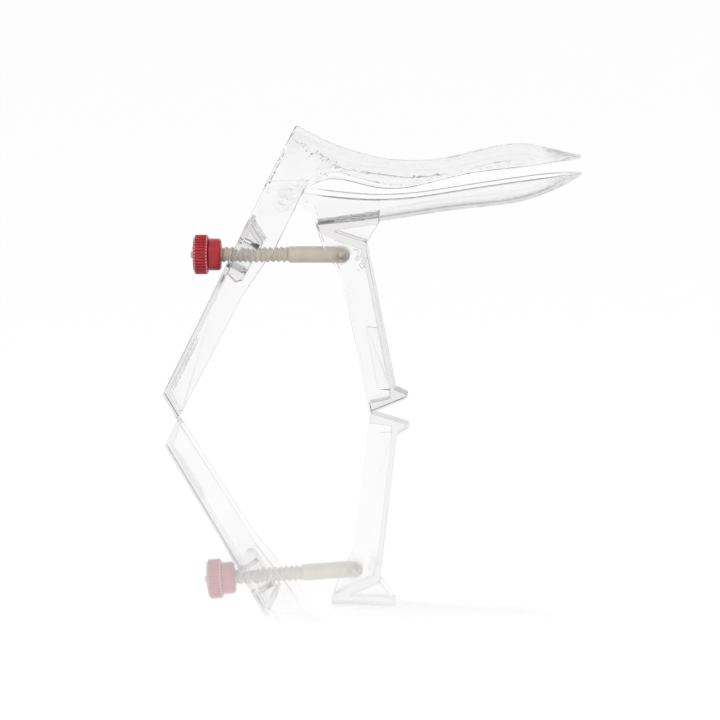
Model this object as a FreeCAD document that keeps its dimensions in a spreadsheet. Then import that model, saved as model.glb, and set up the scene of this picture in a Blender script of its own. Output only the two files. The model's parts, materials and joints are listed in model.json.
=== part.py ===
import FreeCAD, Part
import math
import os
import re

import Sketcher

# Clear moulded bivalve speculum with a locking screw. Lengths are in millimetres.
# X runs from the legs to the blade tips, Y across the blades and Z up. The origin lies on the
# table under the middle of the object. The blades are closed and both legs stand on the table.
#
# Two clear mouldings swing on a pair of moulded pegs. The upper valve is a blade, a collar round
# the viewing opening and the rear leg. The lower valve is a blade, two ears and the front leg.
# A screw swings on the front leg and passes through a slot in the rear leg. A thumb nut with a
# thrust collar runs on its thread behind the rear leg and holds the legs together.

V = FreeCAD.Vector

SIZES = {
    # hinge of the two valves
    "hinge_x": -33.0, "hinge_z": 87.2, "peg_r": 1.6, "hinge_clearance": 0.25, "peg_proud": 0.4,
    "wall": 1.8, "blade_wall": 1.6,
    # collar and rear leg, in a frame that leans forward at the hinge
    "rear_lean": 28.6, "leg_back": 9.1, "collar_half": 17.0, "collar_top": 27.7,
    "rim_rise": 8.2, "rim_lap": 1.2, "flange_front": 5.5, "flange_knee": 2.2, "flange_toe": 0.7,
    "flange_straight": 18.0, "knee_drop": 42.0, "crease_rise": 1.2, "crease_slope": 0.475,
    "rear_heel_drop": 92.5, "rear_tip_drop": 98.9, "rear_half": 7.5, "taper_end": 50.0,
    "view_sill": 13.4, "chute_reach": 0.0, "chute_drop": 19.0, "chute_wall": 1.5,
    # slot for the screw and the guide box round it
    "slot_high": 21.4, "slot_low": 34.9, "slot_half": 3.9, "guide_half": 5.6,
    "guide_front": -0.5, "guide_low": 37.2, "guide_point": 39.4, "guide_point_back": 3.0,
    # upper blade, side view
    "peak_x": -15.6, "peak_rim": 94.8, "bend_x": -6.4, "bend_rise": 10.5,
    "waist_x": 16.4, "waist_rise": 9.8, "waist_rim_x": 5.4, "waist_rim": 90.4,
    "mid_x": 37.5, "mid_rim": 94.3, "mid_rise": 7.6,
    "nose_x": 64.0, "nose_rim": 96.8, "nose_rise": 8.2,
    "bill_x": 76.0, "bill_rim": 97.9, "bill_rise": 4.2,
    "tip_x": 85.3, "tip_rim": 98.3, "tip_rise": 1.4, "shell_lean": 9.6,
    # lower blade, side view
    "ear_rim": 90.4, "ear_depth": 17.4, "bed_x": -20.5, "bed_rim": 88.9, "bed_depth": 14.9,
    "dip_x": 5.0, "dip_rim": 86.0, "dip_depth": 9.7,
    "low_mid_rim": 88.5, "low_mid_depth": 8.6, "low_nose_rim": 91.4, "low_nose_depth": 8.6,
    "low_bill_rim": 92.4, "low_bill_depth": 5.5, "low_tip_rim": 92.7, "low_tip_depth": 1.4,
    # widths of both blades
    "blade_half": 12.5, "bed_half": 14.5, "nose_start": 56.0, "tip_half": 1.2,
    # ears of the lower valve
    "ear_r": 4.4, "ear_front_x": -24.5, "ear_front_low": 84.2, "ear_tab_rise": 6.0, "ear_tab_x": 5.2,
    "throat_x": -26.5, "throat_z": 84.4, "throat_knee_x": -22.2, "throat_knee_z": 81.8,
    "throat_low_z": 78.0,
    # front leg
    "front_half": 7.5, "leg_top_x": -21.0, "leg_top_z": 75.5, "leg_shoulder_x": -18.9,
    "leg_shoulder_z": 68.1, "leg_hip_x": -13.0, "leg_hip_z": 57.4, "leg_rear_x": -11.6,
    "leg_rear_z": 54.0, "heel_x": -2.4, "toe_x": 12.7, "toe_z": 6.7, "toe_under_x": 12.1,
    "toe_under_z": 5.3, "shin_low_x": 7.6, "shin_low_z": 9.2, "shin_mid_x": 0.9, "shin_mid_z": 52.5,
    "neck_x": -1.6, "neck_z": 67.5, "gusset_x": 4.2, "gusset_z": 76.0,
    "roof_x": -13.9, "roof_z": 73.0, "roof_wall": 1.6, "sole": 2.2,
    "rib_depth": 5.2, "rib_top_z": 33.5, "rib_low_z": 8.6, "rib_wall": 1.6,
    # screw
    "pivot_x": -11.5, "pivot_z": 63.4, "screw_rise": 2.1, "shank_r": 3.3, "crest_r": 3.1,
    "root_r": 2.5, "pitch": 2.2, "shank_length": 21.2, "thread_end": 59.4, "pilot_r": 1.4,
    "pilot_length": 1.1, "trunnion_r": 1.6, "trunnion_clearance": 0.25, "boss_r": 3.4,
    "boss_gap": 0.4,
    # thumb nut and thrust collar
    "nut_clearance": 0.25, "wheel_r": 7.9, "wheel_start": 53.4, "wheel_length": 5.9,
    "rib_count": 36, "groove_depth": 0.55, "groove_share": 0.5, "wheel_chamfer": 0.5,
    "hub_wall": 1.2, "collar_r": 6.4, "collar_start": 48.3, "collar_edge": 1.3,
    "collar_lip": 0.9,
}

doc = FreeCAD.newDocument("speculum")
sheet = doc.addObject("Spreadsheet::Sheet", "Sizes")
for row, (alias, value) in enumerate(SIZES.items(), start=1):
    sheet.set(f"A{row}", alias)
    sheet.set(f"B{row}", str(value))
    sheet.setAlias(f"B{row}", alias)
doc.recompute()


def size(alias):
    """The value of one cell of the sheet."""
    return float(sheet.get(alias))


FUNCTIONS = ("sin", "cos", "tan", "sqrt")


def bound(formula):
    """The formula with every size read from the sheet."""
    return re.sub(r"[a-z_]+\w*", lambda word: word.group(0) if word.group(0) in FUNCTIONS
                  else "Sizes." + word.group(0), formula)


def outline(name, corners, plane="XZ"):
    """A closed sketch of straight sides whose corners are formulas of the sheet."""
    sketch = doc.addObject("Sketcher::SketchObject", name)
    if plane == "XZ":
        sketch.Placement.Rotation = FreeCAD.Rotation(V(1, 0, 0), 90)
    if plane == "YZ":
        sketch.Placement.Rotation = FreeCAD.Rotation(V(1, 1, 1), 120)
    count = len(corners)
    circle = [V(math.cos(2 * math.pi * k / count), math.sin(2 * math.pi * k / count), 0)
              for k in range(count)]
    for k in range(count):
        sketch.addGeometry(Part.LineSegment(circle[k], circle[(k + 1) % count]), False)
    for k, corner in enumerate(corners):
        sketch.addConstraint(Sketcher.Constraint("Coincident", k, 2, (k + 1) % count, 1))
        for kind, letter, start, formula in zip(("DistanceX", "DistanceY"), "xy", circle[k], corner):
            index = sketch.addConstraint(Sketcher.Constraint(kind, -1, 1, k, 1, start))
            sketch.renameConstraint(index, f"{letter}{k}")
            sketch.setExpression(f"Constraints.{letter}{k}", bound(formula))
    return sketch


def slab(name, sketch, width, direction=(0, 1, 0), both_ways=True):
    """The sketch pulled out along a direction, to both sides unless said otherwise."""
    solid = doc.addObject("Part::Extrusion", name)
    solid.Base = sketch
    solid.DirMode = "Custom"
    solid.Dir = V(*direction)
    solid.Solid = True
    solid.Symmetric = both_ways
    solid.setExpression("LengthFwd", bound(width))
    return solid


def joined(kind, name, parts):
    """A fuse or a common of several objects."""
    result = doc.addObject(kind, name)
    result.Shapes = parts
    return result


def cut(name, base, tool):
    result = doc.addObject("Part::Cut", name)
    result.Base = base
    result.Tool = tool
    return result


def rod(name, radius, height, x, y, z, turn):
    """A cylinder bound to the sheet, turned from the Z axis by a rotation."""
    cylinder = doc.addObject("Part::Cylinder", name)
    cylinder.setExpression("Radius", bound(radius))
    cylinder.setExpression("Height", bound(height))
    cylinder.Placement.Rotation = turn
    for axis, formula in zip("xyz", (x, y, z)):
        cylinder.setExpression(f"Placement.Base.{axis}", bound(formula))
    return cylinder


ALONG_Y = FreeCAD.Rotation(V(1, 0, 0), -90)


def guide(points):
    """A smooth side-view line z(x) through the points, read with value(x)."""
    line = Part.BSplineCurve()
    line.interpolate(Points=[V(x, 0, z) for x, z in points], Parameters=[x for x, _ in points])
    return line


def height(line, x):
    return line.value(x).z


def at(place, rim, rise=None, down=False):
    """A point of a side view: at the rim's height, or a rise above or below it."""
    step = size(rise) if rise else 0.0
    return size(place), size(rim) + (-step if down else step)


ARC_STEPS = 16
# The hollow of a blade stops where less than this height is left under its wall.
MIN_HOLLOW = 0.6
RIM_OVERRUN = 0.12
END_RUN_OUT = 2.0


def dish(rim, crown, half, inset=0.0, overrun=0.0):
    """Points of one cross-section: half an ellipse from rim to rim over the crown.

    inset moves it inwards by a wall, and overrun carries it past both rims by an angle.
    """
    reach = crown - rim
    up = reach - V(reach).normalize() * inset
    across = V(0, half - inset, 0)
    sweep = math.pi + 2 * overrun
    angles = [sweep * k / ARC_STEPS - overrun for k in range(ARC_STEPS + 1)]
    return [rim + across * math.cos(a) + up * math.sin(a) for a in angles]


def through(points, places):
    """The smooth line through the points, with its parameter equal to the places."""
    line = Part.BSplineCurve()
    line.interpolate(Points=points, Parameters=places)
    return line


def skinned(name, sections):
    """A solid with one smooth skin through all cross-sections, flat ends and a flat base.

    Each section is a place along the blade and the points of its half ellipse.
    """
    places = [place for place, _ in sections]
    rows = [points for _, points in sections]
    steps = [float(k) for k in range(ARC_STEPS + 1)]
    lengthwise = [through([row[k] for row in rows], places) for k in range(ARC_STEPS + 1)]
    nets = [line.getPoles() for line in lengthwise]
    crosswise = [through([net[k] for net in nets], steps) for k in range(len(nets[0]))]
    surface = Part.BSplineSurface()
    surface.buildFromPolesMultsKnots(
        [line.getPoles() for line in crosswise],
        lengthwise[0].getMultiplicities(), crosswise[0].getMultiplicities(),
        lengthwise[0].getKnots(), crosswise[0].getKnots(),
        False, False, lengthwise[0].Degree, crosswise[0].Degree)
    rims = [surface.vIso(step).toShape() for step in (steps[0], steps[-1])]
    faces = [surface.toShape(), Part.makeRuledSurface(*rims)]
    for place, row in ((places[0], rows[0]), (places[-1], rows[-1])):
        end = [surface.uIso(place).toShape(), Part.makeLine(row[-1], row[0])]
        faces.append(Part.Face(Part.Wire(end)))
    shell = Part.Compound(faces)
    shell.sewShape(0.01)
    solid = Part.makeSolid(shell.Shells[0])
    if solid.Volume < 0:
        solid.reverse()
    feature = doc.addObject("Part::Feature", name)
    feature.Shape = solid
    return feature


def blade_half_width(x, root_x, root_half):
    """Half width of a blade: narrows from its root, stays even, and rounds off at the nose."""
    waist = size("waist_x")
    if x < waist:
        share = (waist - x) / (waist - root_x)
        ease = share * share * (3 - 2 * share)
        return size("blade_half") + (root_half - size("blade_half")) * ease
    start = size("nose_start")
    if x <= start:
        return size("blade_half")
    round_off = math.sqrt(max(0.0, 1 - ((x - start) / (size("tip_x") - start)) ** 2))
    return max(size("tip_half"), size("blade_half") * round_off)


ROOT_STEPS, BODY_STEPS, NOSE_STEPS = 2, 4, 7


def nose_stations(first):
    """Places along a blade, closer together where the nose rounds off."""
    waist, start, tip = size("waist_x"), size("nose_start"), size("tip_x")
    root = [first + (waist - first) * k / ROOT_STEPS for k in range(ROOT_STEPS)]
    body = [waist + (start - waist) * k / BODY_STEPS for k in range(BODY_STEPS)]
    nose = [start + (tip - start) * math.sin(math.pi / 2 * k / NOSE_STEPS)
            for k in range(NOSE_STEPS + 1)]
    return root + body + nose


# Collar and rear leg. They are drawn upright in the leaning frame at the hinge: x forward from
# the hinge and z up along the leg, which leans forward by rear_lean.
LEAN = FreeCAD.Placement(V(size("hinge_x"), 0, size("hinge_z")),
                         FreeCAD.Rotation(V(0, 1, 0), size("rear_lean")))


def leaning(x, z):
    """A point of the leaning frame, in the frame of the whole object."""
    return LEAN.multVec(V(x, 0, z))


def lean(feature):
    """Puts a finished feature of the leaning frame where the rear leg is."""
    feature.setExpression("Placement.Base.x", bound("hinge_x"))
    feature.setExpression("Placement.Base.z", bound("hinge_z"))
    feature.Placement.Rotation = FreeCAD.Rotation(V(0, 1, 0), 1)
    feature.setExpression("Placement.Rotation.Angle", "Sizes.rear_lean * 1 deg")


def rear_front_view(name, inset, top):
    """The leg seen from behind, as wide as the collar above the crease and narrow below."""
    return outline(name, [
        (f"-(collar_half - {inset})", top), (f"collar_half - {inset}", top),
        (f"collar_half - {inset}", "crease_rise"), (f"rear_half - {inset}", "-taper_end"),
        (f"rear_half - {inset}", "-(rear_tip_drop + taper_end)"),
        (f"-(rear_half - {inset})", "-(rear_tip_drop + taper_end)"),
        (f"-(rear_half - {inset})", "-taper_end"), (f"-(collar_half - {inset})", "crease_rise"),
    ], "YZ")


def rear_prism(name, inset, top="collar_top"):
    """The view from behind carried forward, sinking with the crease of the side walls."""
    view = rear_front_view(f"{name}_view", inset, top)
    prism = slab(name, view, "3 * leg_back + 3 * flange_front", (1, 0, -size("crease_slope")), False)
    view.setExpression("Placement.Base.x", bound("-leg_back"))
    return prism


def make_rear_leg():
    side = outline("rear_side", [
        ("-leg_back", "rim_lap"), ("flange_front", "rim_rise + rim_lap"),
        ("flange_front", "-flange_straight"),
        ("flange_knee", "-knee_drop"), ("flange_toe", "-rear_tip_drop"),
        ("-leg_back", "-rear_heel_drop")])
    outer = joined("Part::MultiCommon", "rear_outer",
                   [slab("rear_side_slab", side, "4 * collar_half"), rear_prism("rear_outer_prism", "0")])
    hollow_side = outline("rear_hollow_side", [
        ("wall - leg_back", "collar_top"), ("2 * flange_front", "collar_top"),
        ("2 * flange_front", "-(rear_tip_drop - wall)"), ("flange_toe", "-(rear_tip_drop - 1.3 * wall)"),
        ("wall - leg_back", "-(rear_heel_drop - wall)")])
    hollow = joined("Part::MultiCommon", "rear_hollow",
                    [slab("rear_hollow_slab", hollow_side, "4 * collar_half"),
                     rear_prism("rear_hollow_prism", "wall", "2 * collar_top")])
    channel = cut("rear_channel", outer, hollow)

    sill_side = outline("sill_side", [
        ("-2 * leg_back", "-view_sill"), ("-leg_back + 2 * wall", "-view_sill"),
        ("-leg_back + 2 * wall", "collar_top"), ("-2 * leg_back", "collar_top")])
    opening = joined("Part::MultiCommon", "view_opening",
                     [slab("view_opening_slab", sill_side, "4 * collar_half"),
                      rear_prism_back("view_opening_prism")])
    open_channel = cut("rear_open_channel", channel, opening)

    chute_side = outline("chute_side", [
        ("-leg_back", "-view_sill"), ("chute_reach", "-chute_drop"),
        ("chute_reach", "-(chute_drop + chute_wall)"), ("-leg_back", "-(view_sill + 1.5 * chute_wall)")])
    chute = joined("Part::MultiCommon", "chute",
                   [slab("chute_slab", chute_side, "4 * collar_half"),
                    rear_prism("chute_prism", "0.5 * wall")])
    guide_side = outline("guide_side", [
        ("-leg_back", "-(view_sill + chute_wall)"), ("guide_front", "-chute_drop"),
        ("guide_front", "-guide_low"), ("-guide_point_back", "-guide_point"),
        ("-leg_back", "-guide_low")])
    guide_box = slab("slot_guide", guide_side, "2 * guide_half")
    leg = joined("Part::MultiFuse", "rear_leg_block", [open_channel, chute, guide_box])

    slot_box = outline("slot_view", [
        ("-slot_half", "-(slot_high + slot_half)"), ("slot_half", "-(slot_high + slot_half)"),
        ("slot_half", "-(slot_low - slot_half)"), ("-slot_half", "-(slot_low - slot_half)")], "YZ")
    forward = FreeCAD.Rotation(V(0, 1, 0), 90)
    ends = [rod(f"slot_end_{k}", "slot_half", "4 * leg_back", "-2 * leg_back", "0", drop, forward)
            for k, drop in enumerate(("-(slot_high + slot_half)", "-(slot_low - slot_half)"))]
    slot = joined("Part::MultiFuse", "screw_slot", [slab("slot_slab", slot_box, "4 * leg_back", (1, 0, 0))]
                  + ends)
    slotted = cut("rear_leg", leg, slot)
    lean(slotted)
    return slotted


def rear_prism_back(name):
    """The inner view carried through the web, to open it."""
    view = rear_front_view(f"{name}_view", "wall", "2 * collar_top")
    prism = slab(name, view, "6 * wall", (1, 0, -size("crease_slope")), True)
    view.setExpression("Placement.Base.x", bound("-leg_back"))
    return prism


def upper_sections(inset=0.0, overrun=0.0, run_out=0.0):
    """Cross-sections of collar and upper blade, from the leaning rear face to the tip."""
    rear_rim = leaning(-size("leg_back") - run_out, 0)
    front_rim = leaning(size("flange_front"), size("rim_rise"))
    rear_crown = leaning(-size("leg_back"), size("collar_top"))
    rim_line = guide([(front_rim.x, front_rim.z), at("peak_x", "peak_rim"),
                      at("waist_rim_x", "waist_rim"), at("mid_x", "mid_rim"),
                      at("nose_x", "nose_rim"), at("bill_x", "bill_rim"), at("tip_x", "tip_rim")])
    crown_line = guide([(rear_crown.x, rear_crown.z), at("bend_x", "peak_rim", "bend_rise"),
                        at("waist_x", "waist_rim", "waist_rise"), at("mid_x", "mid_rim", "mid_rise"),
                        at("nose_x", "nose_rim", "nose_rise"), at("bill_x", "bill_rim", "bill_rise"),
                        at("tip_x", "tip_rim", "tip_rise")])
    rear_crown = leaning(-size("leg_back") - run_out, size("collar_top"))
    sections = [(rear_rim.x, dish(rear_rim, rear_crown, size("collar_half"), inset, overrun))]
    upright_x = size("waist_rim_x")
    stations = [front_rim.x, size("peak_x"), 0.5 * (size("peak_x") + upright_x)]
    stations += nose_stations(upright_x)
    for x in stations:
        share = max(0.0, (upright_x - x) / (upright_x - front_rim.x))
        crown_x = x + size("shell_lean") * share
        rim = V(x, 0, height(rim_line, x))
        crown = V(crown_x, 0, height(crown_line, crown_x))
        if crown.z - rim.z < inset + MIN_HOLLOW:
            continue
        half = blade_half_width(x, front_rim.x, size("collar_half"))
        sections.append((x, dish(rim, crown, half, inset, overrun)))
    return sections


def make_upper_valve(leg):
    outer = skinned("upper_outer", upper_sections())
    cavity = skinned("upper_cavity", upper_sections(size("blade_wall"), RIM_OVERRUN, END_RUN_OUT))
    shell = cut("upper_shell", outer, cavity)
    body = joined("Part::MultiFuse", "upper_body", [shell, leg])
    hole = rod("hinge_hole", "peg_r + hinge_clearance", "3 * collar_half", "hinge_x",
               "-1.5 * collar_half", "hinge_z", ALONG_Y)
    return cut("upper_valve", body, hole)


def lower_sections(inset=0.0, overrun=0.0, run_out=0.0):
    """Cross-sections of the lower blade, from the hinge to the tip."""
    rear_x = size("hinge_x")
    places = [("hinge_x", "ear"), ("bed_x", "bed"), ("dip_x", "dip"), ("mid_x", "low_mid"),
              ("nose_x", "low_nose"), ("bill_x", "low_bill"), ("tip_x", "low_tip")]
    rim_line = guide([at(x, f"{name}_rim") for x, name in places])
    keel_line = guide([at(x, f"{name}_rim", f"{name}_depth", True) for x, name in places])
    sections = []
    for x in [rear_x] + nose_stations(size("bed_x")):
        place = x - run_out if x == rear_x else x
        rim = V(place, 0, height(rim_line, x))
        keel = V(place, 0, height(keel_line, x))
        if rim.z - keel.z < inset + MIN_HOLLOW:
            continue
        half = blade_half_width(max(x, size("bed_x")), size("bed_x"), size("bed_half"))
        sections.append((place, dish(rim, keel, half, inset, overrun)))
    return sections


def make_front_leg():
    side = outline("front_side", [
        ("heel_x", "0"), ("toe_under_x", "toe_under_z"), ("toe_x", "toe_z"),
        ("shin_low_x", "shin_low_z"), ("shin_mid_x", "shin_mid_z"), ("neck_x", "neck_z"),
        ("gusset_x", "gusset_z"), ("gusset_x", "dip_rim - dip_depth + 3 * blade_wall"),
        ("leg_top_x + 1", "dip_rim - dip_depth + 3 * blade_wall"), ("leg_top_x", "leg_top_z"),
        ("leg_shoulder_x", "leg_shoulder_z"), ("leg_hip_x", "leg_hip_z"), ("leg_rear_x", "leg_rear_z")])
    hollow = outline("front_hollow", [
        ("heel_x - 9", "sole"), ("shin_low_x - wall", "sole + 3.2"),
        ("shin_low_x - wall", "shin_low_z"), ("shin_mid_x - wall", "shin_mid_z"),
        ("neck_x - wall", "neck_z - roof_wall"), ("roof_x", "roof_z - 2 * roof_wall"),
        ("leg_top_x - 4", "leg_top_z")])
    pocket = outline("front_pocket", [
        ("roof_x", "roof_z"), ("neck_x + 8", "neck_z - 2"), ("gusset_x + 8", "dip_rim - dip_depth"),
        ("roof_x", "roof_z + 1")])
    rib = outline("front_rib", [
        ("shin_low_x - wall - rib_depth", "rib_low_z"), ("shin_low_x - 0.5 * wall", "rib_low_z"),
        ("shin_low_x - 0.5 * wall - (rib_top_z - shin_low_z) * (shin_low_x - shin_mid_x)"
         " / (shin_mid_z - shin_low_z)", "rib_top_z"),
        ("shin_low_x - wall - rib_depth - (rib_top_z - shin_low_z) * (shin_low_x - shin_mid_x)"
         " / (shin_mid_z - shin_low_z)", "rib_top_z + 0.8")])
    column = slab("front_column", side, "2 * front_half")
    core = slab("front_core", hollow, "2 * (front_half - wall)")
    recess = slab("front_recess", pocket, "2 * (front_half - wall)")
    plate = slab("front_rib_plate", rib, "rib_wall")
    channel = cut("front_channel", cut("front_shell", column, core), recess)
    bosses = []
    for k, side_sign in enumerate((-1, 1)):
        start = "-front_half + 0.5 * wall" if side_sign < 0 else "shank_r + boss_gap"
        bosses.append(rod(f"pivot_boss_{k}", "boss_r", "front_half - 0.5 * wall - shank_r - boss_gap",
                          "pivot_x", start, "pivot_z", ALONG_Y))
    return joined("Part::MultiFuse", "front_leg_block", [channel, plate] + bosses)


def make_ears():
    """Flat cheeks with rounded ends that carry the hinge pegs, and the tabs of the closing stop."""
    ear_view = outline("ear_view", [
        ("hinge_x", "hinge_z - ear_r"), ("ear_front_x", "ear_front_low"),
        ("ear_front_x", "hinge_z + 2"), ("hinge_x + ear_tab_x + 1.6", "hinge_z + 2.6"),
        ("hinge_x + ear_tab_x + 0.8", "hinge_z + ear_tab_rise"),
        ("hinge_x + ear_tab_x - 2.2", "hinge_z + ear_r - 1"), ("hinge_x", "hinge_z + ear_r")])
    blank = slab("ear_blank", ear_view, "2 * bed_half")
    ends = rod("ear_ends", "ear_r", "2 * bed_half", "hinge_x", "-bed_half", "hinge_z", ALONG_Y)
    solid = joined("Part::MultiFuse", "ear_block", [blank, ends])
    gap = rod("ear_gap", "4 * ear_r", "2 * (bed_half - wall)", "hinge_x", "-(bed_half - wall)",
              "hinge_z", ALONG_Y)
    ears = cut("ears", solid, gap)
    pegs = rod("pegs", "peg_r", "2 * (collar_half + peg_proud)", "hinge_x",
               "-(collar_half + peg_proud)", "hinge_z", ALONG_Y)
    peg_gap = rod("peg_gap", "2 * peg_r", "2 * (bed_half - 0.5 * wall)", "hinge_x",
                  "-(bed_half - 0.5 * wall)", "hinge_z", ALONG_Y)
    return joined("Part::MultiFuse", "ears_with_pegs", [ears, cut("peg_pair", pegs, peg_gap)])


def make_lower_valve():
    outer = skinned("lower_outer", lower_sections())
    run_out = size("ear_r") + END_RUN_OUT
    cavity = skinned("lower_cavity", lower_sections(size("blade_wall"), RIM_OVERRUN, run_out))
    behind = outline("behind_view", [
        ("hinge_x - 4 * ear_r", "hinge_z - ear_r"), ("hinge_x", "hinge_z - ear_r"),
        ("throat_x", "throat_z"), ("throat_knee_x", "throat_knee_z"),
        ("leg_top_x", "throat_low_z"), ("leg_top_x", "bed_rim - 2 * bed_depth"),
        ("hinge_x - 4 * ear_r", "bed_rim - 2 * bed_depth")])
    trimmed = cut("lower_trimmed", outer, slab("behind_slab", behind, "4 * collar_half"))
    full = joined("Part::MultiFuse", "lower_block", [trimmed, make_front_leg(), make_ears()])
    hollowed = cut("lower_hollowed", full, cavity)
    pivot = rod("pivot_holes", "trunnion_r + trunnion_clearance", "4 * front_half", "pivot_x",
                "-2 * front_half", "pivot_z", ALONG_Y)
    return cut("lower_valve", hollowed, pivot)


def on_screw(feature):
    """Turns a piece drawn along Z from the pivot to lie along the screw."""
    feature.setExpression("Placement.Base.x", bound("pivot_x"))
    feature.setExpression("Placement.Base.z", bound("pivot_z"))
    feature.Placement.Rotation = FreeCAD.Rotation(V(0, -1, 0), 1)
    feature.setExpression("Placement.Rotation.Angle", "(90 - Sizes.screw_rise) * 1 deg")


def new_body(name):
    body = doc.addObject("PartDesign::Body", name)
    on_screw(body)
    return body


def body_plane(body, role):
    return next(o for o in body.Origin.OriginFeatures if o.Role == role)


def body_sketch(body, name, corners, role="XZ_Plane"):
    """A closed sketch on one of the body's own planes, corners as formulas."""
    sketch = body.newObject("Sketcher::SketchObject", name)
    sketch.AttachmentSupport = [(body_plane(body, role), "")]
    sketch.MapMode = "FlatFace"
    count = len(corners)
    circle = [V(5 + math.cos(2 * math.pi * k / count), math.sin(2 * math.pi * k / count), 0)
              for k in range(count)]
    for k in range(count):
        sketch.addGeometry(Part.LineSegment(circle[k], circle[(k + 1) % count]), False)
    for k, corner in enumerate(corners):
        sketch.addConstraint(Sketcher.Constraint("Coincident", k, 2, (k + 1) % count, 1))
        for kind, letter, start, formula in zip(("DistanceX", "DistanceY"), "xy", circle[k], corner):
            index = sketch.addConstraint(Sketcher.Constraint(kind, -1, 1, k, 1, start))
            sketch.renameConstraint(index, f"{letter}{k}")
            sketch.setExpression(f"Constraints.{letter}{k}", bound(formula))
    return sketch


def revolve(body, name, sketch):
    turned = body.newObject("PartDesign::Revolution", name)
    turned.Profile = sketch
    turned.ReferenceAxis = (sketch, ["V_Axis"])
    turned.Angle = 360
    doc.recompute()
    return turned


def make_screw():
    """Round shank on two trunnions, then a coarse thread that is drawn as rings."""
    body = new_body("screw_body")
    turns = int((size("thread_end") - size("shank_length")) / size("pitch"))
    corners = [("0", "0"), ("shank_r", "0"), ("shank_r", "shank_length")]
    for k in range(turns):
        base = f"shank_length + {k} * pitch"
        corners += [("root_r", f"{base} + 0.5 * pitch"), ("crest_r", f"{base} + pitch")]
    corners += [("root_r", "thread_end"), ("pilot_r", "thread_end"),
                ("pilot_r", "thread_end + pilot_length"), ("0", "thread_end + pilot_length")]
    revolve(body, "screw_turned", body_sketch(body, "screw_profile", corners))
    ball = doc.addObject("Part::Sphere", "screw_ball")
    ball.setExpression("Radius", bound("shank_r"))
    ball.setExpression("Placement.Base.x", bound("pivot_x"))
    ball.setExpression("Placement.Base.z", bound("pivot_z"))
    trunnion = rod("trunnions", "trunnion_r", "2 * front_half", "pivot_x", "-front_half",
                   "pivot_z", ALONG_Y)
    return joined("Part::MultiFuse", "screw", [body, ball, trunnion])


def make_thumb_nut():
    """Ribbed wheel with a hub that reaches into the thrust collar."""
    body = new_body("thumb_nut")
    revolve(body, "wheel", body_sketch(body, "wheel_profile", [
        ("crest_r + nut_clearance", "collar_start + collar_lip + nut_clearance"),
        ("crest_r + nut_clearance + hub_wall", "collar_start + collar_lip + nut_clearance"),
        ("crest_r + nut_clearance + hub_wall", "wheel_start"),
        ("wheel_r - wheel_chamfer", "wheel_start"), ("wheel_r", "wheel_start + wheel_chamfer"),
        ("wheel_r", "wheel_start + wheel_length - wheel_chamfer"),
        ("wheel_r - wheel_chamfer", "wheel_start + wheel_length"),
        ("crest_r + nut_clearance", "wheel_start + wheel_length")]))
    half = math.pi * size("wheel_r") / size("rib_count") * size("groove_share")
    flute = body_sketch(body, "flute", [
        ("wheel_r - groove_depth", "0"), ("wheel_r + 1", f"-{half:.6f} - 0.3"),
        ("wheel_r + 1", f"{half:.6f} + 0.3")], "XY_Plane")
    flute.AttachmentOffset = FreeCAD.Placement(V(0, 0, size("wheel_start") - 0.5), FreeCAD.Rotation())
    flute.setExpression("AttachmentOffset.Base.z", bound("wheel_start - 0.5"))
    groove = body.newObject("PartDesign::Pocket", "one_flute")
    groove.Profile = flute
    groove.setExpression("Length", bound("wheel_length + 1"))
    groove.Reversed = True
    doc.recompute()
    pattern = body.newObject("PartDesign::PolarPattern", "flutes")
    pattern.Originals = [groove]
    pattern.Axis = (body_plane(body, "Z_Axis"), [""])
    pattern.Angle = 360
    pattern.Occurrences = int(size("rib_count"))
    body.Tip = pattern
    doc.recompute()
    return body


def make_thrust_collar():
    """Smooth collar that bears on the rear leg and does not turn with the wheel."""
    body = new_body("thrust_collar")
    revolve(body, "collar_turned", body_sketch(body, "collar_profile", [
        ("crest_r + nut_clearance", "collar_start"),
        ("collar_r - collar_edge", "collar_start"),
        ("collar_r - 0.3 * collar_edge", "collar_start + 0.3 * collar_edge"),
        ("collar_r", "collar_start + collar_edge"),
        ("collar_r", "wheel_start - nut_clearance"),
        ("crest_r + 2 * nut_clearance + hub_wall", "wheel_start - nut_clearance"),
        ("crest_r + 2 * nut_clearance + hub_wall", "collar_start + collar_lip"),
        ("crest_r + nut_clearance", "collar_start + collar_lip")]))
    return body


pieces = {
    "upper_valve": make_upper_valve(make_rear_leg()),
    "lower_valve": make_lower_valve(),
    "screw": make_screw(),
    "thumb_nut": make_thumb_nut(),
    "thrust_collar": make_thrust_collar(),
}
doc.recompute()

for feature in doc.Objects:
    if {"Invalid", "Error"} & set(feature.State):
        raise RuntimeError(f"{feature.Name} failed: {feature.State}")

os.makedirs("parts", exist_ok=True)
for node, feature in pieces.items():
    feature.Label = node
    shape = feature.Shape
    if shape.isNull() or not shape.isValid():
        raise RuntimeError(f"{node} has no valid shape")
    shape.exportStep(f"parts/{node}.step")
    box = shape.BoundBox
    print(f"{node}: {len(shape.Solids)} solids, {shape.Volume / 1000:.2f} cm3, "
          f"x {box.XMin:.1f} {box.XMax:.1f}, y {box.YMin:.1f} {box.YMax:.1f}, "
          f"z {box.ZMin:.1f} {box.ZMax:.1f}")
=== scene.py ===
# %% [markdown]
# A clear bivalve speculum on a white, polished table.
# The object is two clear mouldings that swing on moulded pegs, an ivory screw that swings in the
# front handle, and a red thumb nut with a smooth collar that runs on the screw's thread.
# The solids of the frame say where everything is. This script gives each one its finish, rounds
# the rims and edges of the mouldings, and models again what a solid only hints at: the helix of
# the thread, the ribs of the nut, and the fine ribs and marks that the mould leaves.

# %% The frame
import bisect
import json
import math

import bmesh
import bpy
from mathutils import Matrix, Vector


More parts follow.
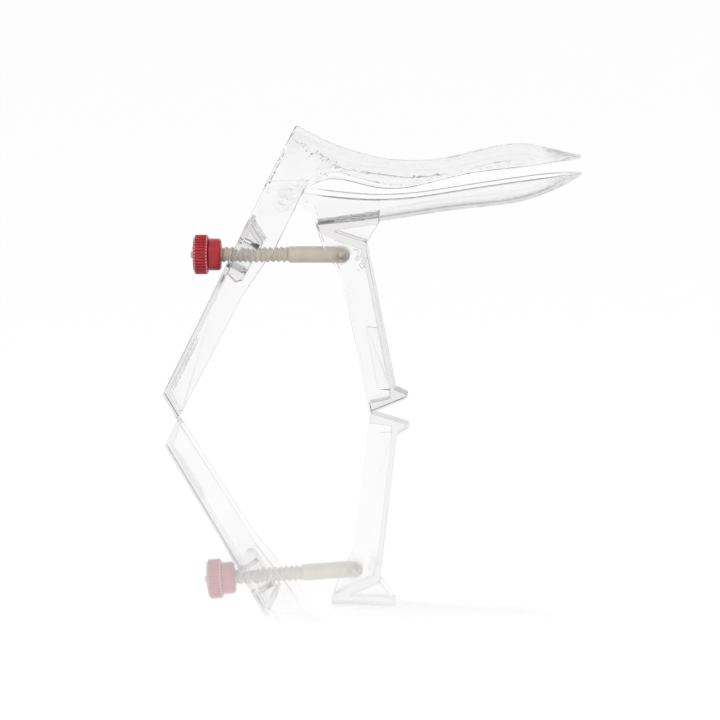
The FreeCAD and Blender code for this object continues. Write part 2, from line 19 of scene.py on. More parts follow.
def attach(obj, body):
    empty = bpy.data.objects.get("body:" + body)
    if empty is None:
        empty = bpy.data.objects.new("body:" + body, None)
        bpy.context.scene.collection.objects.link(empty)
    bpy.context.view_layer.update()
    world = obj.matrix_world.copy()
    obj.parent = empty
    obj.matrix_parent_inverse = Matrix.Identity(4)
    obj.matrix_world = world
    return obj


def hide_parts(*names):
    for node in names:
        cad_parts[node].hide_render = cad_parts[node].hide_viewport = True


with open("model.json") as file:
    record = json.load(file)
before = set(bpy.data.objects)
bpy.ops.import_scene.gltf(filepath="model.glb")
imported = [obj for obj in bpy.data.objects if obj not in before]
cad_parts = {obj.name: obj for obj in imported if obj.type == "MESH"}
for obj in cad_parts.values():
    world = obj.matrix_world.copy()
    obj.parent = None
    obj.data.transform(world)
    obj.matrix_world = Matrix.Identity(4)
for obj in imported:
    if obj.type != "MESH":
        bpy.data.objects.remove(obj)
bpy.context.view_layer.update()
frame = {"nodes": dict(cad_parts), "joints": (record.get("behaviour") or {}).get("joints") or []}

MM = 0.001
joints = {joint["name"]: joint for joint in frame["joints"]}
pivot = Vector(joints["screw_swing"]["pos_m"])
screw_direction = -Vector(joints["nut_travel"]["axis"])


def link(name, data):
    """A new object in the scene."""
    made = bpy.data.objects.new(name, data)
    bpy.context.scene.collection.objects.link(made)
    return made


print("the screw leaves", tuple(round(x, 4) for x in pivot), "along", screw_direction)

# %% [markdown]
# The camera stands far away with a long lens, as in a product photograph, so that parallel edges
# stay parallel. An orthographic camera would come close, but a lens still draws the near wall of a
# handle a little larger than the far one, and in clear plastic both are seen. It looks slightly
# down, a little from the right, and the picture is turned by two degrees. The target is the point
# of the object's middle plane that falls on the picture's centre.

# %% Camera
CAMERA_TARGET = Vector((-6.04, 0.0, 20.79)) * MM
CAMERA_DISTANCE = 2500 * MM
CAMERA_AZIMUTH, CAMERA_ELEVATION, CAMERA_ROLL = (math.radians(a) for a in (3.0, 6.1, 2.35))
CAMERA_LENS = 312.5
CAMERA_REACH = 60

camera = link("camera", bpy.data.cameras.new("camera"))
back = Vector((math.sin(CAMERA_AZIMUTH) * math.cos(CAMERA_ELEVATION),
               -math.cos(CAMERA_AZIMUTH) * math.cos(CAMERA_ELEVATION),
               math.sin(CAMERA_ELEVATION)))
right = Vector((0, 0, 1)).cross(back).normalized()
turn = Matrix.Rotation(-CAMERA_ROLL, 3, back)
axes = [turn @ right, turn @ back.cross(right), back]
camera.matrix_world = Matrix.Translation(CAMERA_TARGET + back * CAMERA_DISTANCE) @ Matrix(
    [[axis[row] for axis in axes] for row in range(3)]).to_4x4()
camera.data.lens = CAMERA_LENS
camera.data.clip_end = CAMERA_REACH
bpy.context.scene.camera = camera
print("camera at", tuple(round(x, 3) for x in camera.location))

# %% [markdown]
# A material is a small program, so its arithmetic is written as arithmetic. The class below wraps
# one output of a node. Adding or multiplying two of them adds the Math node that does it. A sheet
# is the node tree of one material or world, with a method for each thing that is done often.


# %% Shader sums
class Wire:
    """One output of a shader node, or a plain number, that can be used in a sum."""

    def __init__(self, sheet, socket):
        self.sheet, self.socket = sheet, socket

    def sum(self, operation, *others, clamp=False):
        return self.sheet.node("ShaderNodeMath", self, *others, operation=operation, use_clamp=clamp)

    def __add__(self, other): return self.sum("ADD", other)
    def __radd__(self, other): return self.sum("ADD", other)
    def __sub__(self, other): return self.sum("SUBTRACT", other)
    def __rsub__(self, other): return (self * -1.0) + other
    def __mul__(self, other): return self.sum("MULTIPLY", other)
    def __truediv__(self, other): return self.sum("DIVIDE", other)

    def clamped(self):
        """The value, held between 0 and 1."""
        return self.sum("ADD", 0.0, clamp=True)

    def between(self, low, high):
        """0 below low, 1 above high, and even in between."""
        return ((self - low) / (high - low)).clamped()

    def part(self, axis):
        """The X, Y or Z of a place or direction."""
        return self.sheet.node("ShaderNodeSeparateXYZ", self, output=axis)


class Sheet:
    """A material or world, with one method that adds any node."""

    def __init__(self, owner):
        owner.use_nodes = True
        self.tree = owner.node_tree
        self.tree.nodes.clear()

    def node(self, kind, *values, output=0, stops=(), **settings):
        made = self.tree.nodes.new(kind)
        for name, value in settings.items():
            setattr(made, name, value)
        for spot, (place, tone) in zip(made.color_ramp.elements if stops else (), stops):
            spot.position, spot.color = place, (*tone, 1.0)
        self.feed(made, dict(enumerate(values)))
        return Wire(self, made.outputs[output])

    def feed(self, made, inputs):
        for name, value in inputs.items():
            if isinstance(value, Wire):
                self.tree.links.new(value.socket, made.inputs[name])
            elif value is not None:
                made.inputs[name].default_value = value

    def shader(self, kind, **inputs):
        made = self.tree.nodes.new(kind)
        self.feed(made, {name.replace("_", " "): value for name, value in inputs.items()})
        return Wire(self, made.outputs[0])

    def mixed(self, share, first, second):
        return self.node("ShaderNodeMixShader", share, first, second)

    def ray(self, kind):
        """1 for rays of one kind and 0 for all others."""
        return self.node("ShaderNodeLightPath", output=f"Is {kind} Ray")

    def noise(self, place, scale, detail, roughness):
        return self.node("ShaderNodeTexNoise", place, None, scale, detail, roughness)

    def bump(self, height, strength, distance):
        return self.node("ShaderNodeBump", strength, distance, None, height)

    def end(self, kind="ShaderNodeOutputMaterial", **inputs):
        """Adds the output node, which closes the sheet."""
        self.feed(self.tree.nodes.new(kind), inputs)


def finish_of(name):
    """A new material and its node sheet."""
    made = bpy.data.materials.new(name)
    return made, Sheet(made)


def grey(tone):
    return (tone, tone, tone, 1.0)


print("shader helpers are ready")

# %% [markdown]
# The studio is a white sweep. Clear plastic shows nothing of its own: it shows what stands behind
# it, bent at every edge. In a studio its edges are drawn by leaving the room dark outside the white
# ground, and the world does the same. It is white for what is seen straight. For what is seen
# through the plastic it is darker overhead and nearly black far to the left and right, so rims and
# corners, which bend the view that far, become thin grey lines. Mirror images see only the darker
# part overhead. Every other ray gets even white light.

# %% World
PLASTIC_SEES_TOP, TOP_BEGINS = 0.78, (0.35, 0.80)
PLASTIC_SEES_SIDE, SIDE_BEGINS = 0.10, (0.40, 0.70)
ROOM_LIGHT = 0.85

world = bpy.data.worlds.new("studio")
bpy.context.scene.world = world
sheet = Sheet(world)
seen, mirrored, through = sheet.ray("Camera"), sheet.ray("Glossy"), sheet.ray("Transmission")
direction = sheet.node("ShaderNodeTexCoord", output="Generated")
height = direction.part("Z")
sideways = direction.part("X").sum("ABSOLUTE")
darker_top = 1.0 - height.between(*TOP_BEGINS) * (1.0 - PLASTIC_SEES_TOP)
darker_side = 1.0 - sideways.between(*SIDE_BEGINS) * (1.0 - PLASTIC_SEES_SIDE)
shown = seen + through * darker_top * darker_side + mirrored * darker_top
lighting = 1.0 - (seen + through + mirrored).clamped()
strength = (shown + lighting * ROOM_LIGHT).sum("MINIMUM", 1.0)
sheet.end("ShaderNodeOutputWorld",
          Surface=sheet.shader("ShaderNodeBackground", Color=grey(1), Strength=strength))
print("world with", len(sheet.tree.nodes), "nodes")

# %% [markdown]
# The table is white polished acrylic. A plain white surface would come out grey under these lamps,
# so it glows white for the camera and keeps a soft share of the lamps' light, in which the
# object's shadow stays. Seen through the plastic its glow is painted: white from the side, like a
# reflection of the white room in its gloss, and painted shade where the view is bent steeply down
# or far aside. A thin mirror over it gives the faint upside-down picture of the object, which fades
# out towards the viewer.

# %% Table
TABLE_HALF = 30.0
TABLE_TONE, TABLE_GLOW = 0.93, 0.82
STEEP_DARK, FLAT_VIEW = 0.55, (0.25, 0.70)
ASIDE_DARK, ASIDE_PLACE = 0.65, (0.18, 0.45)
MIRROR_SHARE, MIRROR_ROUGHNESS = 0.57, 0.015
MIRROR_FADE = (-0.585, -0.500)


def table_finish():
    made, sheet = finish_of("white_acrylic")
    seen, mirrored, through = sheet.ray("Camera"), sheet.ray("Glossy"), sheet.ray("Transmission")
    place = sheet.node("ShaderNodeTexCoord", output="Object")
    grazing = sheet.node("ShaderNodeLayerWeight", 0.5, output="Facing")
    # Painted reflection and painted shade: the glow seen through the plastic is white at grazing
    # views and dimmed for steep views and far to the sides.
    steep = (1.0 - grazing.between(*FLAT_VIEW)) * STEEP_DARK
    aside = place.part("X").sum("ABSOLUTE").between(*ASIDE_PLACE) * ASIDE_DARK
    kept = (1.0 - steep) * (1.0 - aside)

    lit = sheet.shader("ShaderNodeBsdfDiffuse", Color=grey(TABLE_TONE))
    glow = sheet.shader("ShaderNodeEmission", Color=grey(1), Strength=1.0)
    dark = sheet.shader("ShaderNodeEmission", Color=grey(0), Strength=0.0)
    ground = sheet.mixed((seen + mirrored).clamped() * TABLE_GLOW, lit, glow)
    ground = sheet.mixed(through, ground, sheet.mixed(kept, dark, glow))

    mirror = sheet.shader("ShaderNodeBsdfAnisotropic", Color=grey(1), Roughness=MIRROR_ROUGHNESS)
    polished = place.part("Y").between(*MIRROR_FADE)
    sheet.end(Surface=sheet.mixed(seen * polished * MIRROR_SHARE, ground, mirror))
    return made


table_mesh = bpy.data.meshes.new("table")
table_mesh.from_pydata([(-TABLE_HALF, -TABLE_HALF, 0), (TABLE_HALF, -TABLE_HALF, 0),
                        (TABLE_HALF, TABLE_HALF, 0), (-TABLE_HALF, TABLE_HALF, 0)],
                       [], [(0, 1, 2, 3)])
table = link("table", table_mesh)
table_mesh.materials.append(table_finish())
print("table", TABLE_HALF * 2, "m wide")

# %% [markdown]
# Two large soft lamps light the solid pieces: one high in front on the left, a weaker one on the
# right. A small lamp would give hard shadows. These are nearly a metre across, several times the
# size of the object, so no shadow has a hard border. Both point at the middle of the object.

# %% Lamps
LAMP_AIM = Vector((0, 0, 0.06))
LAMP_SIZE = 0.9


def soft_lamp(name, place, watts):
    lamp = bpy.data.lights.new(name, "AREA")
    lamp.shape, lamp.size, lamp.energy = "DISK", LAMP_SIZE, watts
    held = link(name, lamp)
    held.location = place
    held.rotation_euler = (LAMP_AIM - Vector(place)).to_track_quat("-Z", "Y").to_euler()
    return held


lamps = [soft_lamp("key_lamp", (-0.9, -1.2, 1.3), 9.0), soft_lamp("fill_lamp", (1.3, -0.8, 0.9), 4.0)]
print("lamps", [lamp.name for lamp in lamps])

# %% [markdown]
# The clear mouldings are injection-moulded polystyrene: colourless, glossy and about one and a
# half times as dense for light as air. A see-through colour alone would look like film, so the
# light is really bent. A trace of grey in the depth of the plastic darkens long ways through it,
# such as a wall seen along its length, and leaves a wall seen across nearly clear. The surface is
# not perfect: flow lines from the mould and light wear are a faint bump.
# Thin plastic bends the view less than a solid edge does, so at the blade tips and in the fine ribs
# a share of the view passes straight. Shadows pass straight too, and are only a little darkened.

# %% Clear plastic
PLASTIC_IOR = 1.55
PLASTIC_TONE = (0.998, 0.996, 0.998, 1.0)
DEPTH_TONE, DEPTH_DENSITY = (0.30, 0.24, 0.28, 1.0), 18.0
SHADOW_PASSES = 0.95
WAVES, SMUDGE = (90.0, 3.0, 0.5), (260.0, 4.0, 0.6)
WAVE_BUMP = (0.10, 0.00012)
ROUGH_LEAST, ROUGH_VARIES = 0.015, 0.05
TIP_PLACE, TIP_THIN = (0.071, 0.080), 0.55
RIB_THIN = 0.60


def clear_plastic(name, thin=0.0):
    """Clear plastic. Thin is the share of the view that passes straight through it."""
    made, sheet = finish_of(name)
    place = sheet.node("ShaderNodeTexCoord", output="Object")
    smudge = sheet.noise(place, *SMUDGE).between(0.45, 0.75)
    bent = sheet.shader("ShaderNodeBsdfPrincipled", Base_Color=PLASTIC_TONE,
                        Roughness=smudge * ROUGH_VARIES + ROUGH_LEAST, IOR=PLASTIC_IOR,
                        Transmission_Weight=1.0,
                        Normal=sheet.bump(sheet.noise(place, *WAVES), *WAVE_BUMP))
    straight = sheet.shader("ShaderNodeBsdfTransparent", Color=grey(1))
    body = sheet.mixed(place.part("X").between(*TIP_PLACE) * TIP_THIN + thin, bent, straight)
    shade = sheet.shader("ShaderNodeBsdfTransparent", Color=grey(SHADOW_PASSES))
    sheet.end(Surface=sheet.mixed(sheet.ray("Shadow"), body, shade),
              Volume=sheet.shader("ShaderNodeVolumeAbsorption", Color=DEPTH_TONE,
                                  Density=DEPTH_DENSITY))
    return made


CLEAR_PLASTIC = clear_plastic("clear_plastic")
CLEAR_RIBS = clear_plastic("clear_ribs", RIB_THIN)
print("clear plastic with", len(CLEAR_PLASTIC.node_tree.nodes), "nodes")

# %% [markdown]
# The screw is ivory polypropylene, satin and slightly waxy. The nut and its collar are deep red,
# more polished. Moulded plastic has a fine mottle, and the red is darker in patches. A picture
# could carry that, but noise in the colour and the gloss needs no unwrapping of the shapes.

# %% Opaque plastics
MOTTLE, MOTTLE_RANGE = (220.0, 3.0, 0.55), (0.3, 0.7)
GRAIN_BUMP, GRAIN_ROUGH = (0.15, 0.00005), 0.12
WAX_DEPTH = 2 * MM


def moulded_plastic(name, light_tone, dark_tone, roughness, grain, wax=0.0):
    made, sheet = finish_of(name)
    place = sheet.node("ShaderNodeTexCoord", output="Object")
    speck = sheet.noise(place, grain, 2.0, 0.5)
    tone = sheet.node("ShaderNodeValToRGB", sheet.noise(place, *MOTTLE).between(*MOTTLE_RANGE),
                      stops=[(0.0, dark_tone), (1.0, light_tone)])
    body = sheet.shader("ShaderNodeBsdfPrincipled", Base_Color=tone,
                        Roughness=roughness + speck * GRAIN_ROUGH, IOR=1.49,
                        Subsurface_Weight=wax, Subsurface_Scale=WAX_DEPTH,
                        Normal=sheet.bump(speck, *GRAIN_BUMP))
    sheet.end(Surface=body)
    return made


IVORY = moulded_plastic("ivory_plastic", (0.55, 0.49, 0.41), (0.48, 0.43, 0.35), 0.34, 1800.0, 0.15)
RED = moulded_plastic("red_plastic", (0.42, 0.012, 0.022), (0.33, 0.008, 0.016), 0.22, 1500.0)
print("opaque plastics", IVORY.name, RED.name)

# %% [markdown]
# A valve of the real object is one smooth moulding. Its solid arrives as loose triangles that know
# the exact direction of the surface at each of their corners. A clear piece needs one closed skin,
# because light is bent where it enters and where it leaves, so the triangles will be joined. That
# loses their normals, and normals worked out again from the triangles would show in the glass as
# wrinkles. So the exact ones are first written down by place, and each piece looks them up later.

# %% Exact normals
SAME_PLACE = 0.002 * MM
SAME_SKIN = math.cos(math.radians(16))


def place_of(point):
    return tuple(round(c / SAME_PLACE) for c in point)


def exact_normals(solid):
    """The solid's own normals, by place. A point on a corner has several."""
    known = {}
    for loop, corner in zip(solid.loops, solid.corner_normals):
        place = place_of(solid.vertices[loop.vertex_index].co)
        known.setdefault(place, []).append(corner.vector.copy())
    return known


def best_normal(known, point, rough):
    """The known normal at a point that fits a rough one, or None."""
    best = max(known.get(place_of(point), []), key=rough.dot, default=None)
    return best if best is not None and best.dot(rough) > SAME_SKIN else None


valve_normals = {node: exact_normals(frame["nodes"][node].data)
                 for node in ("upper_valve", "lower_valve")}
print("places with normals", {node: len(known) for node, known in valve_normals.items()})

# %% [markdown]
# The blades and the collar are curved, and long triangles on a curve show as facets. A subdivision
# surface would shrink the skins and soften the corners. Instead every long edge on a curve is
# halved twice, and its new point moves out onto the curve that its two ends and their normals
# describe. The large flat faces stay as they are.

# %% Fuller curves
EDGE_ANGLE = math.radians(28)
LEAST_ANGLE = math.radians(0.05)
FLAT_AREA = 12 * MM * MM
SKIN_STEP = 1.4 * MM


def curve_middle(first, second, n0, n1):
    """The point and the normal halfway along the curve between two points with normals."""
    step = second - first
    out = (n1 * step.dot(n1) - n0 * step.dot(n0)) / 8
    both = n0 + n1
    normal = (both - step * (2 * step.dot(both) / step.dot(step))).normalized()
    return (first + second) / 2 + out, normal


def fill_out(work, known):
    """Halves the long edges of the curved skins and moves the new points out onto the curve."""
    for _ in range(2):
        middles, halved = {}, []
        for edge in work.edges:
            if (edge.calc_length() < SKIN_STEP or len(edge.link_faces) != 2
                    or not LEAST_ANGLE < edge.calc_face_angle(0.0) < EDGE_ANGLE
                    or max(face.calc_area() for face in edge.link_faces) > FLAT_AREA):
                continue
            first, second = (v.co for v in edge.verts)
            rough = (edge.link_faces[0].normal + edge.link_faces[1].normal).normalized()
            n0, n1 = best_normal(known, first, rough), best_normal(known, second, rough)
            if n0 is not None and n1 is not None:
                middles[place_of((first + second) / 2)] = curve_middle(first, second, n0, n1)
                halved.append(edge)
        made = bmesh.ops.subdivide_edges(work, edges=halved, cuts=1)["geom_inner"]
        for v in (item for item in made if isinstance(item, bmesh.types.BMVert)):
            found = middles.get(place_of(v.co))
            if found:
                v.co = found[0]
                known.setdefault(place_of(v.co), []).append(found[1])
        bmesh.ops.triangulate(work, faces=[face for face in work.faces if len(face.verts) > 3
                                           and face.calc_area() < FLAT_AREA])
        work.normal_update()


print("long edges of curved skins are halved down to", SKIN_STEP / MM, "mm")

# %% [markdown]
# The rims of the blades are well rounded on the real object, so that nothing sharp touches skin. In
# the solid they are flat. To round a rim, the script has to know which faces are its own. Their
# slope alone would also pick the floor of a blade, so a rim is the band of faces that can be
# reached from one of its faces without crossing a corner.

# %% The band of a rim
RIM_SLOPE, SEED_REACH = 0.97, 4 * MM
RIMS = {"upper_valve": {"facing": -1, "seed_place": (0.0485, 0.0114, 0.0957), "start": -0.026},
        "lower_valve": {"facing": 1, "seed_place": (0.0608, -0.0114, 0.0911), "start": -0.022}}


def joined_faces(seeds):
    """All faces that can be reached from the seeds without crossing a corner."""
    found, waiting = set(seeds), list(seeds)
    while waiting:
        for edge in waiting.pop().edges:
            if edge.calc_face_angle(math.pi) < EDGE_ANGLE:
                fresh = [face for face in edge.link_faces if face not in found]
                found.update(fresh)
                waiting += fresh
    return found


def rim_faces(work, facing, seed_place):
    """The band of a rim, from a place on it and the way it faces, up as 1 or down as -1."""
    return joined_faces([face for face in work.faces if face.normal.z * facing > RIM_SLOPE
                         and (face.calc_center_median() - Vector(seed_place)).length < SEED_REACH])


print("rims are looked for on", sorted(RIMS))

# %% [markdown]
# A bevel fails on such a rim, because it is a strip of hundreds of narrow faces. So the skins
# beside it are cut along lines at set depths below the rim, and the points of those lines move
# towards the middle of the wall until they lie on a half circle. The rounding starts behind the
# collar and grows to its full size over a few millimetres.

# %% Round rims
RIM_ROUND = 0.86 * MM
RIM_TURNS = [math.radians(a) for a in (0, 22.5, 45, 67.5)]
RIM_FADE = 6 * MM
ON_LEVEL, ABOVE_RIM = 0.02 * RIM_ROUND, -0.05 * RIM_ROUND


def between_points(points, place):
    """The height of a line of points at a place along it."""
    after = bisect.bisect_left(points, (place, 0.0))
    if after in (0, len(points)):
        return points[min(after, len(points) - 1)][1]
    (x0, z0), (x1, z1) = points[after - 1], points[after]
    return z0 + (z1 - z0) * (place - x0) / max(x1 - x0, 1e-9)


def cut_level(work, depth, level, start):
    """Cuts the skins beside a rim along the line that lies one level below it."""
    depths = {v: depth(v.co) - level for v in work.verts if v.co.x > start}
    on_level = [v for v, gap in depths.items() if abs(gap) < ON_LEVEL]
    crossing = [edge for edge in work.edges if all(v in depths for v in edge.verts)
                and not any(v in on_level for v in edge.verts)
                and depths[edge.verts[0]] * depths[edge.verts[1]] < 0]
    for edge in crossing:
        first, second = edge.verts
        share = depths[first] / (depths[first] - depths[second])
        on_level.append(bmesh.utils.edge_split(edge, first, share)[1])
    bmesh.ops.connect_verts(work, verts=on_level)


def round_rims(work, facing, seed_place, start):
    """Rounds both rims of a blade, from the start on."""
    band = rim_faces(work, facing, seed_place)
    line = sorted({(round(v.co.x, 5), v.co.z) for face in band for v in face.verts})

    def depth(point):
        return (between_points(line, point.x) - point.z) * facing

    for turn in RIM_TURNS:
        cut_level(work, depth, RIM_ROUND * (1.0 - math.sin(turn)), start)
    work.normal_update()
    band = joined_faces([face for face in band if face.is_valid])
    moves = {}
    for v in work.verts:
        deep = depth(v.co)
        if v.co.x < start or not ABOVE_RIM < deep < RIM_ROUND:
            continue
        skins = [face.normal * face.calc_area() for face in v.link_faces if face not in band]
        side = sum(skins, Vector()) * Vector((1, 1, 0))
        if side.length < 1e-12:
            continue
        rest = 1.0 - max(deep, 0.0) / RIM_ROUND
        share = min(1.0, (v.co.x - start) / RIM_FADE)
        moves[v] = -side.normalized() * share * RIM_ROUND * (1.0 - math.sqrt(1.0 - rest * rest))
    for v, move in moves.items():
        v.co += move
    return len(band), len(moves)


print("rims are rounded by", RIM_ROUND / MM, "mm")

# %% [markdown]
# The straight edges of the handles have the narrow bevel that a mould leaves, and the mouth of the
# collar has a wider one. Each bevel catches the light as one thin line. A bevel modifier would
# round every corner alike, so the edges are picked by their angle, length and faces.
# Then every edge that is still a corner is marked sharp, and the rest is shaded smooth.

# %% Bevels and corners
EDGE_ROUND, MOUTH_ROUND = 0.35 * MM, 0.75 * MM
BEVEL_ANGLE = math.radians(50)
LEAST_EDGE, LEAST_FACE = 1.5 * MM, 4 * MM * MM
MOUTH_HEIGHT = 85 * MM


def bevel(work, edges, width, segments=4):
    bmesh.ops.bevel(work, geom=edges, offset=width, segments=segments, profile=0.5, affect="EDGES")
    return len(edges)


def mouth_edges(work):
    """The edges of the collar's large face that looks back."""
    rings = [face for face in work.faces if face.normal.x < -0.8 and face.calc_area() > FLAT_AREA
             and face.calc_center_median().z > MOUTH_HEIGHT]
    return list(dict.fromkeys(edge for face in rings for edge in face.edges
                              if edge.calc_face_angle(0.0) > BEVEL_ANGLE))


def straight_edges(work):
    """The long corners between two faces that are large enough for a bevel."""
    return [edge for edge in work.edges
            if edge.calc_face_angle(0.0) > BEVEL_ANGLE and edge.calc_length() > LEAST_EDGE
            and min(face.calc_area() for face in edge.link_faces) > LEAST_FACE]


def shade(work, corner_angle=EDGE_ANGLE):
    """Smooth faces, and a sharp edge wherever two of them meet at a corner."""
    for face in work.faces:
        face.smooth = True
    for edge in work.edges:
        edge.smooth = edge.calc_face_angle(0.0) < corner_angle


print("bevels of", EDGE_ROUND / MM, "mm, and", MOUTH_ROUND / MM, "mm at the mouth")

# %% [markdown]
# Smooth shading blends the normals of neighbours, which would drag a dark wedge from each bevel
# across a flat wall. Sharp edges there would draw hard lines instead. So a modifier turns the
# normals beside the large flat faces to match them, and then every other point that has an exact
# normal gets it back.

# %% Normals of a finished valve
FLAT_WEIGHT = 80


def evaluated(made):
    """The object's mesh with its modifiers applied, on the same object."""
    view = bpy.context.evaluated_depsgraph_get()
    mesh = bpy.data.meshes.new_from_object(made.evaluated_get(view))
    made.modifiers.clear()
    made.data = mesh
    return made


def matched_to_flats(made, points):
    """The object with the normals of these points turned towards their largest face."""
    made.vertex_groups.new(name="flats").add(points, 1.0, "REPLACE")
    weigh = made.modifiers.new("weigh", "WEIGHTED_NORMAL")
    weigh.keep_sharp, weigh.weight, weigh.vertex_group = True, FLAT_WEIGHT, "flats"
    return evaluated(made)


def true_normals(mesh, known):
    """Gives the points of the skins their exact normals."""
    flat = {k for face in mesh.polygons if face.area > FLAT_AREA for k in face.loop_indices}
    normals, matched = [], 0
    for index, (loop, corner) in enumerate(zip(mesh.loops, mesh.corner_normals)):
        rough = corner.vector.copy()
        best = best_normal(known, mesh.vertices[loop.vertex_index].co, rough)
        normals.append(rough if index in flat or best is None else best)
        matched += normals[-1] is best
    mesh.normals_split_custom_set(normals)
    return matched


print("normals beside faces over", round(FLAT_AREA / MM ** 2), "square mm follow them")

# %% [markdown]
# Each valve goes through these steps in turn. Its points are merged and its flat faces made whole
# again, the curves are filled out, the rims rounded and the edges bevelled. It stays one piece, as
# it was moulded, and works on a copy, because the solids of the frame are never changed.

# %% Clear valves
MERGE_REACH = 0.003 * MM


def clear_valve(node, body):
    mesh = frame["nodes"][node].data.copy()
    work = bmesh.new()
    work.from_mesh(mesh)
    bmesh.ops.remove_doubles(work, verts=work.verts, dist=MERGE_REACH)
    bmesh.ops.dissolve_limit(work, angle_limit=LEAST_ANGLE, verts=work.verts,
                             edges=work.edges, delimit={"NORMAL"})
    fill_out(work, valve_normals[node])
    in_band, moved = round_rims(work, **RIMS[node])
    bevels = (bevel(work, mouth_edges(work), MOUTH_ROUND),
              bevel(work, straight_edges(work), EDGE_ROUND))
    shade(work)
    loose = sum(not edge.is_manifold for edge in work.edges)
    work.verts.index_update()
    beside_flats = sorted({v.index for face in work.faces if face.calc_area() > FLAT_AREA
                           for v in face.verts})
    work.to_mesh(mesh)
    work.free()
    mesh.materials.clear()
    mesh.materials.append(CLEAR_PLASTIC)

    made = matched_to_flats(link(f"{node}_clear", mesh), beside_flats)
    exact = true_normals(made.data, valve_normals[node])
    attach(made, body)
    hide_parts(node)
    print(made.name, len(made.data.polygons), "faces,", loose, "open edges")
    print("  rims:", in_band, "faces,", moved, "points moved. Bevels: mouth and edges", bevels)
    print("  exact normals at", exact, "of", len(made.data.loops), "corners")
    return made


valves = [clear_valve("upper_valve", "upper"), clear_valve("lower_valve", "lower")]

# %% [markdown]
# Everything on the screw is turned, so one helper spins a profile. Blender's screw modifier could
# do it too, but here one helper also closes the shape on the axis and places it along the screw.
# A profile is a list of places along the screw and radii, in millimetres, and closes on the axis
# or on itself.

# %% Turned shapes
ROUND_STEPS = 96
across = Vector((0, 1, 0))
screw_axes = (across.cross(screw_direction), across, screw_direction)
along_screw = Matrix.Translation(pivot) @ Matrix(
    [[axis[row] for axis in screw_axes] for row in range(3)]).to_4x4()


def arc(centre_place, centre_radius, radius, start, end, steps=5):
    """A rounded corner of a profile, from one angle to another in degrees."""
    angles = [math.radians(start + (end - start) * k / steps) for k in range(steps + 1)]
    return [(centre_place + radius * math.sin(a), centre_radius + radius * math.cos(a))
            for a in angles]


def spun(profile, closed=False):
    """A mesh in bmesh form, spun from a profile round the local Z axis."""
    work = bmesh.new()
    rings = []
    for place, radius in profile:
        if radius <= 0:
            rings.append([work.verts.new((0, 0, place * MM))])
            continue
        rings.append([work.verts.new((radius * MM * math.cos(a), radius * MM * math.sin(a),
                                      place * MM))
                      for a in (2 * math.pi * k / ROUND_STEPS for k in range(ROUND_STEPS))])
    pairs = list(zip(rings, rings[1:])) + ([(rings[-1], rings[0])] if closed else [])
    for low, high in pairs:
        for k in range(ROUND_STEPS):
            corners = [low[k % len(low)], low[(k + 1) % len(low)],
                       high[(k + 1) % len(high)], high[k % len(high)]]
            corners = list(dict.fromkeys(corners))
            if len(corners) > 2:
                work.faces.new(corners)
    bmesh.ops.recalc_face_normals(work, faces=work.faces)
    return work


def placed(work, name, finish):
    """The spun shape as an object that lies along the screw."""
    mesh = bpy.data.meshes.new(name)
    shade(work)
    work.to_mesh(mesh)
    work.free()
    mesh.transform(along_screw)
    mesh.materials.append(finish)
    return link(name, mesh)


print("turned shapes use", ROUND_STEPS, "steps round")

# %% [markdown]
# The screw starts at a rounded eye, which swings between the walls of the front handle on two
# trunnions. A smooth shank follows, then the root of the thread, and a short pilot that the nut is
# started on. The root stops a little below the crest, and the ridge of the thread is added next,
# because a helix can't be spun.

# %% Screw blank
SHANK_R, ROOT_R, PILOT_R = 3.3, 2.5, 1.4
SHANK_END, THREAD_END, PILOT_END = 21.2, 59.4, 60.5
SHANK_ROUND, ROOT_STEP, ROOT_CHAMFER, PILOT_ROUND = 0.5, 0.6, 0.3, 0.4
TRUNNION_R, TRUNNION_HALF, TRUNNION_END = 1.6, 5.4, 1.3


def trunnion():
    """The cross pin through the eye, with rounded ends."""
    flat = TRUNNION_R - TRUNNION_END
    profile = [(-TRUNNION_HALF, 0.0)] + arc(-TRUNNION_HALF + TRUNNION_END, flat, TRUNNION_END, -90, 0)
    profile += arc(TRUNNION_HALF - TRUNNION_END, flat, TRUNNION_END, 0, 90) + [(TRUNNION_HALF, 0.0)]
    work = spun(profile)
    bmesh.ops.rotate(work, verts=work.verts, cent=(0, 0, 0),
                     matrix=Matrix.Rotation(math.radians(90), 3, "X"))
    return work


def screw_blank():
    profile = [(-SHANK_R, 0.0)] + arc(0.0, 0.0, SHANK_R, -85, 0, steps=17)
    profile += arc(SHANK_END - SHANK_ROUND, SHANK_R - SHANK_ROUND, SHANK_ROUND, 0, 60)
    profile += [(SHANK_END + ROOT_STEP, ROOT_R), (THREAD_END - ROOT_CHAMFER, ROOT_R),
                (THREAD_END, ROOT_R - ROOT_CHAMFER), (THREAD_END, PILOT_R)]
    profile += arc(PILOT_END - PILOT_ROUND, PILOT_R - PILOT_ROUND, PILOT_ROUND, 0, 90)
    profile += [(PILOT_END, 0.0)]
    blank = placed(spun(profile), "screw_blank", IVORY)
    pin = placed(trunnion(), "screw_trunnions", IVORY)
    for made in (blank, pin):
        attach(made, "swing_screw")
    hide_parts("screw")
    return blank, pin


blank, pin = screw_blank()
print("screw blank", len(blank.data.polygons), "faces, trunnions", len(pin.data.polygons))

# %% [markdown]
# A tree of Geometry Nodes is a recipe with named inputs, so a row of ribs or a helix can be changed
# by its numbers. The class below writes such a recipe step by step, in the way that the sheets
# write a material, and turns its result into a plain mesh.


